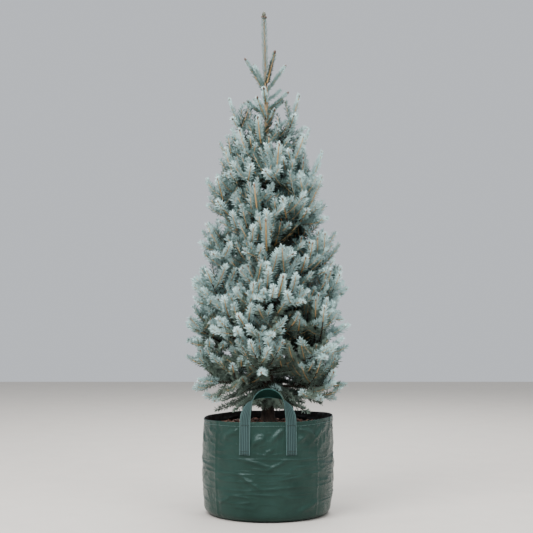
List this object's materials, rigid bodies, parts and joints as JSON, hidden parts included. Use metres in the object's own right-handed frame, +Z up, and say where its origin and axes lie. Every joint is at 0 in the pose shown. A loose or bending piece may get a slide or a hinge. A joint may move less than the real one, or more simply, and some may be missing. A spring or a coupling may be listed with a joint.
{
  "type": "potted blue spruce",
  "caption": "Young blue spruce with a dense pointed crown of silvery needles, standing in a dark green woven planter bag with two webbing handles.",
  "frame": {"origin": "centre of the bag's flat underside", "axes": "+Z up along the stem, -Y towards the front with the handle that faces the viewer, +X to the right seen from the front"},
  "size_m": [0.737, 0.6842, 2.104],
  "materials": {
    "bag_fabric": "glossy laminated weave with soft wrinkles",
    "webbing": "ribbed webbing, matte",
    "potting_mix": "rough bark chips",
    "bark": "rough grey-brown bark",
    "needles": "waxy, matte"
  },
  "bodies": {
    "root": {"bough_tier_7_1": "bark", "bough_tier_7_2": "bark", "bough_tier_7_3": "bark", "bough_tier_7_4": "bark", "bough_tier_8_1": "bark", "bough_tier_8_2": "bark", "bough_tier_8_3": "bark", "bough_tier_8_4": "bark", "bough_tier_9_1": "bark", "bough_tier_9_2": "bark", "bough_tier_9_3": "bark", "bough_tier_9_4": "bark", "bough_tier_9_5": "bark", "foliage_tier_1_1": "needles", "foliage_tier_1_2": "needles", "foliage_tier_1_3": "needles", "foliage_tier_1_4": "needles", "foliage_tier_2_1": "needles", "foliage_tier_2_2": "needles", "foliage_tier_2_3": "needles", "foliage_tier_2_4": "needles", "foliage_tier_3_1": "needles", "foliage_tier_3_2": "needles", "foliage_tier_3_3": "needles", "foliage_tier_3_4": "needles", "foliage_tier_3_5": "needles", "foliage_tier_4_1": "needles", "foliage_tier_4_2": "needles", "foliage_tier_4_3": "needles", "foliage_tier_4_4": "needles", "foliage_tier_4_5": "needles", "foliage_tier_5_1": "needles", "foliage_tier_5_2": "needles", "foliage_tier_5_3": "needles", "foliage_tier_5_4": "needles", "foliage_tier_5_5": "needles", "foliage_tier_6_1": "needles", "foliage_tier_6_2": "needles", "foliage_tier_6_3": "needles", "foliage_tier_6_4": "needles", "foliage_tier_6_5": "needles", "foliage_tier_7_1": "needles", "foliage_tier_7_2": "needles", "foliage_tier_7_3": "needles", "foliage_tier_7_4": "needles", "foliage_tier_8_1": "needles", "foliage_tier_8_2": "needles", "foliage_tier_8_3": "needles", "foliage_tier_8_4": "needles", "foliage_tier_9_1": "needles", "foliage_tier_9_2": "needles", "foliage_tier_9_3": "needles", "foliage_tier_9_4": "needles", "foliage_tier_9_5": "needles", "handle_back": "webbing", "handle_front": "webbing", "leader_needles": "needles", "planter_bag": "bag_fabric", "potting_mix": "potting_mix", "stem": "bark"}
  },
  "joints": []
}
